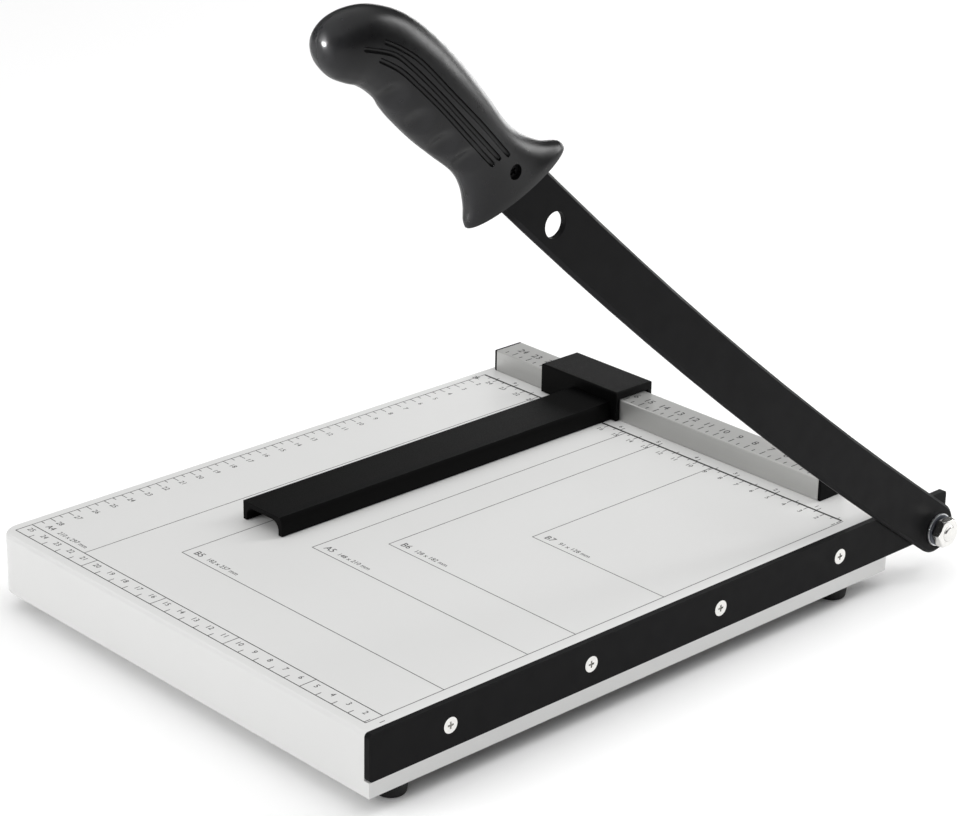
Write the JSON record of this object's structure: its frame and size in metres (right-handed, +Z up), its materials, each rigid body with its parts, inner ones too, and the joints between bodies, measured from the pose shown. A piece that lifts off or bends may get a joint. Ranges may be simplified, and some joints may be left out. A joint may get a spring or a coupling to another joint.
{
  "type": "guillotine paper cutter",
  "caption": "Table-top guillotine paper cutter with a hinged blade arm, a fence, a sliding paper guide and a printed size grid.",
  "frame": {"origin": "on the surface that the feet stand on, under the middle of the whole cutter's box with the arm raised", "axes": "+Z up, +X across the table towards the cutting edge, +Y along the cutting edge from the handle end to the pivot end"},
  "size_m": [0.269, 0.3909, 0.3323],
  "materials": {
    "white_enamel": "satin white stoving enamel on sheet steel",
    "black_steel": "satin black oxide and lacquer",
    "zinc_steel": "zinc plated",
    "nickel_steel": "bright nickel plated",
    "spring_steel": "blued spring steel",
    "fence_aluminium": "satin anodised",
    "black_plastic": "fine-grain black ABS",
    "handle_plastic": "semi-gloss black polypropylene",
    "foot_rubber": "matt black rubber",
    "bush_brass": "turned brass"
  },
  "bodies": {
    "table": {"base_tray": "white_enamel", "backing_bar": "zinc_steel", "fixed_blade": "black_steel", "fixed_blade_screws": "nickel_steel", "foot_near_left": "foot_rubber", "foot_near_right": "foot_rubber", "foot_far_left": "foot_rubber", "foot_far_right": "foot_rubber", "foot_screws": "zinc_steel", "foot_nuts": "zinc_steel", "fence_rail": "fence_aluminium", "fence_cap_left": "black_plastic", "fence_cap_right": "black_plastic", "fence_screws": "zinc_steel", "pivot_bolt": "nickel_steel", "pivot_washer": "black_steel", "pivot_spring_washer": "spring_steel", "pivot_nut": "nickel_steel"},
    "guide": {"guide_head": "black_plastic", "guide_arm": "black_plastic", "guide_screws": "zinc_steel", "guide_leaf_spring": "spring_steel"},
    "arm": {"moving_blade": "black_steel", "pivot_bush": "bush_brass", "handle_outer_half": "handle_plastic", "handle_inner_half": "handle_plastic", "handle_screws": "black_steel", "handle_inserts": "bush_brass"}
  },
  "joints": [
    {"name": "blade_pivot", "type": "hinge", "parent": "table", "child": "arm", "pos_m": [0.1231, 0.1832, 0.0214], "axis": [1, 0, 0], "range_deg": [-35, 37.5]},
    {"name": "guide_slide", "type": "slide", "parent": "table", "child": "guide", "axis": [1, 0, 0], "range_m": [-0.034, 0.127]}
  ]
}
